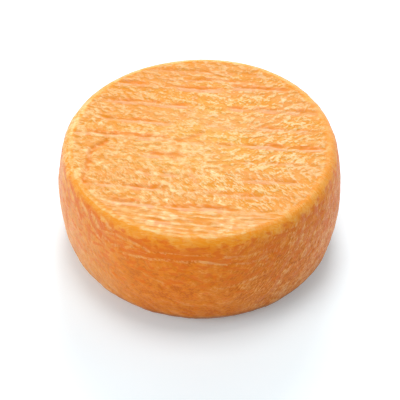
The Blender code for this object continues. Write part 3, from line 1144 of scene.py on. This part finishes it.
def with_lip_highlight(tree, colour, shoulder, torn, level):
    """The colour with the painted sheen on the shoulder and the painted highlight along its lip."""
    # painted sheen: the shoulder's crests paler in cream, most at the left
    sheen_share = summed(tree, 0.10, (attribute_of(tree, "shoulder_sheen"), 0.55))
    colour = blend(tree, product(tree, shoulder, level, sheen_share), colour, LIP_HIGHLIGHT_CREAM)
    slope = maths(tree, "MULTIPLY_ADD", torn, 0.02, attribute_of(tree, "upward"))
    # painted highlight along the lip of the rim
    lip = near_zero(tree, maths(tree, "SUBTRACT", slope, LIP_SLOPE), 0.015, 0.06)
    highlight_share = maths(tree, "MULTIPLY", attribute_of(tree, "lip_highlight"), summed(tree, 0.45, (level, 0.6)))
    return blend(tree, product(tree, lip, highlight_share, 0.9), colour, LIP_HIGHLIGHT_CREAM)


def with_painted_foot_shade(tree, colour):
    """The colour with painted shade on the foot, weaker at the left."""
    downward = maths(tree, "MULTIPLY", attribute_of(tree, "upward"), -1.0)
    # painted shade on the foot, weaker at the left where the table is lit
    foot_shade_share = maths(tree, "MULTIPLY_ADD", attribute_of(tree, "pale_left"), -0.6, 0.9)
    return blend(tree, product(tree, between(tree, downward, 0.02, 0.48), foot_shade_share), colour, FOOT_SHADE_BROWN)


# %% [markdown]
# ## How the rind shines
#
# Under the brine film the skin is dull, with a little light going in and out again. The film on top is a
# thin glossy coat with a surface of its own, which gives short crisp glints. It lies thickest on the face
# and thins out in the hollows, and down the side there is little of it, except at the left, where the
# pulled skin is taut.

# %% The film of moisture
FACE_COAT = 0.6
SIDE_COAT = 0.2
LEFT_COAT = 0.32
PUCKER_DEPTH = 0.00025
FILM_ROUGHNESS = 0.13
SKIN_GLOSS = 0.12
LIGHT_INSIDE = 0.12
LIGHT_COLOUR_REACH = (1.0, 0.4, 0.12)
LIGHT_REACH = 0.0025


def wet_film(tree):
    """The surface of the moist film: it follows the ridges of the skin and has fine puckers of its own."""
    pucker = (PUCKER_LENGTH, PUCKER_WIDTH, PUCKER_WIDTH)
    stretched = vectors(tree, "DIVIDE", attribute_of(tree, "racked", "Vector"), pucker)
    noise_inputs = {"Vector": stretched, "Scale": 1.0, "Detail": 3.0, "Roughness": 0.6}
    cloud = place(tree, "ShaderNodeTexNoise", noise_inputs)
    puckers = between(tree, cloud.outputs["Fac"], 0.36, 0.64)
    height = summed(tree, 0.0, (attribute_of(tree, "ridge"), 0.5), (puckers, 0.7))
    film_inputs = {"Strength": 0.8, "Distance": PUCKER_DEPTH, "Height": height}
    return place(tree, "ShaderNodeBump", film_inputs).outputs[0]


def film_weight(tree, face, shoulder, height):
    """How much film lies on each spot."""
    weight = from_to(tree, maths(tree, "MAXIMUM", face, shoulder), SIDE_COAT, FACE_COAT)
    weight = maths(tree, "MULTIPLY", weight, from_to(tree, height, 0.15, 1.1))
    left = maths(tree, "MULTIPLY", attribute_of(tree, "left_pull"), LEFT_COAT)
    return maths(tree, "MAXIMUM", weight, left)


# %% [markdown]
# ## The rind in one material
#
# Face, shoulder and side are one skin, so they are one material. A mask stored on the mesh leads from the
# side to the face, and how far the skin faces up, with its border broken, marks the shoulder between them.


# %% The rind material
def rind_material():
    """The whole rind: face, shoulder and side in one material."""
    material = bpy.data.materials.new("rind")
    material.use_nodes = True
    tree = material.node_tree
    shader = tree.nodes["Principled BSDF"]
    face = attribute_of(tree, "face")
    torn = rough_edge(tree, attribute_of(tree, "racked", "Vector"), 0.005, 0.004)
    upward = maths(tree, "MULTIPLY_ADD", torn, 0.15, attribute_of(tree, "upward"))
    shoulder = product(tree, between(tree, upward, 0.10, 0.80), maths(tree, "SUBTRACT", 1.0, face))
    face_height = face_level(tree)
    side_height = side_level(tree)
    height = blend_values(tree, face, side_height, face_height)

    colour = blend(tree, face, side_colour(tree, side_height, upward), face_colour(tree, face_height))
    colour = with_shoulder(tree, colour, shoulder, upward, face_height)
    colour = with_lip_highlight(tree, colour, shoulder, torn, face_height)
    colour = with_folds(tree, colour, side_height)
    colour = with_painted_foot_shade(tree, colour)
    tree.links.new(colour, shader.inputs["Base Color"])

    bump_inputs = {"Strength": from_to(tree, face, 0.9, 0.4), "Distance": PUCKER_DEPTH, "Height": height}
    tree.links.new(place(tree, "ShaderNodeBump", bump_inputs).outputs[0], shader.inputs["Normal"])
    tree.links.new(from_to(tree, attribute_of(tree, "ridge"), 0.46, 0.34), shader.inputs["Roughness"])
    tree.links.new(film_weight(tree, face, shoulder, height), shader.inputs["Coat Weight"])
    tree.links.new(wet_film(tree), shader.inputs["Coat Normal"])
    shader.inputs["Coat Roughness"].default_value = FILM_ROUGHNESS
    shader.inputs["Specular IOR Level"].default_value = SKIN_GLOSS
    shader.inputs["Subsurface Weight"].default_value = LIGHT_INSIDE
    shader.inputs["Subsurface Radius"].default_value = LIGHT_COLOUR_REACH
    shader.inputs["Subsurface Scale"].default_value = LIGHT_REACH
    return material


wheel.data.materials.append(rind_material())
print("the rind material has", len(wheel.data.materials[0].node_tree.nodes), "nodes")

# %% [markdown]
# ## The table
#
# The wheel stands on a plain white table top. It is a touch cool, so that the orange light which the side
# throws on it does not tint the shadow much. It also glows a little, as if lit from below, which keeps the
# shadows light.

# %% The floor
FLOOR_SIZE = 6.0
FLOOR_WHITE = (0.85, 0.95, 1.0, 1.0)
FLOOR_GLOW = (0.98, 1.0, 1.02, 1.0)
FLOOR_GLOW_STRENGTH = 0.165


def plain_floor():
    """A wide white table top."""
    bpy.ops.mesh.primitive_plane_add(size=FLOOR_SIZE)
    floor = bpy.context.object
    floor.name = "floor"
    material = bpy.data.materials.new("floor")
    material.use_nodes = True
    shader = material.node_tree.nodes["Principled BSDF"]
    shader.inputs["Base Color"].default_value = FLOOR_WHITE
    shader.inputs["Roughness"].default_value = 0.9
    shader.inputs["Specular IOR Level"].default_value = 0.1
    shader.inputs["Emission Color"].default_value = FLOOR_GLOW
    shader.inputs["Emission Strength"].default_value = FLOOR_GLOW_STRENGTH
    floor.data.materials.append(material)
    return floor


plain_floor()
print("the floor is", FLOOR_SIZE, "m wide")

# %% [markdown]
# ## The lights
#
# Five soft lights in a white room. The one overhead lights the face. The one behind the wheel, and the wide
# backdrop lower down, glance off the wet ridges towards the camera. The one at the left makes that part of
# the side bright, and a weak one at the right opens the shadow there, so the side grows deeper in colour
# from left to right.

# %% Soft lights
STUDIO_LIGHTS = (  # name, place, width, height and power in watts
    ("overhead", (0.0, 0.1, 1.35), 0.5, 0.5, 5.7),
    ("behind", (0.08, 0.95, 0.95), 0.5, 0.2, 6.2),
    ("backdrop", (0.0, 1.6, 0.5), 3.2, 0.8, 20.0),
    ("left_side", (-1.0, -0.62, 0.7), 0.8, 0.8, 6.7),
    ("right_side", (1.2, 0.2, 0.6), 0.6, 0.6, 2.2),
)
ROOM_STRENGTH = 0.315
WHEEL_MIDDLE = Vector((0, 0, WHEEL_HEIGHT / 2))


def look_at(thing, target):
    """Turns a camera or a light so that it faces a point."""
    way = Vector(target) - thing.location
    thing.rotation_euler = way.to_track_quat("-Z", "Y").to_euler()


def soft_light(name, place_at, width, height, power):
    """A rectangular area light that faces the wheel."""
    data = bpy.data.lights.new(name, "AREA")
    data.shape = "RECTANGLE"
    data.size = width
    data.size_y = height
    data.energy = power
    light = bpy.data.objects.new(name, data)
    light.location = place_at
    bpy.context.collection.objects.link(light)
    look_at(light, WHEEL_MIDDLE)
    return light


for row in STUDIO_LIGHTS:
    soft_light(*row)

world = bpy.data.worlds.new("studio")
bpy.context.scene.world = world
world.use_nodes = True
world.node_tree.nodes["Background"].inputs["Color"].default_value = (1.0, 1.0, 1.0, 1.0)
world.node_tree.nodes["Background"].inputs["Strength"].default_value = ROOM_STRENGTH
print(len(STUDIO_LIGHTS), "lights and a white room")

# %% [markdown]
# ## The camera
#
# The camera looks down on the wheel from the front. Its height and lens are those that lay the outline of
# the turned form over the outline of the real wheel: the flatter the top ellipse, the lower the camera
# stands.

# %% Camera
CAMERA_DISTANCE = 0.752
CAMERA_ELEVATION = 44.5
CAMERA_LENS = 105.3
SENSOR = 36.0
AIM = (0.0004, 0.0, WHEEL_HEIGHT / 2 - 0.0136)


def studio_camera():
    """The camera at the photo's angle."""
    data = bpy.data.cameras.new("camera")
    data.lens = CAMERA_LENS
    data.sensor_width = SENSOR
    camera = bpy.data.objects.new("camera", data)
    tilt = math.radians(CAMERA_ELEVATION)
    camera.location = WHEEL_MIDDLE + CAMERA_DISTANCE * Vector((0, -math.cos(tilt), math.sin(tilt)))
    look_at(camera, AIM)
    bpy.context.collection.objects.link(camera)
    bpy.context.scene.camera = camera
    return camera


studio_camera()
bpy.context.scene.view_settings.view_transform = "Standard"
print("the camera stands", CAMERA_DISTANCE, "m away,", CAMERA_ELEVATION, "degrees up")
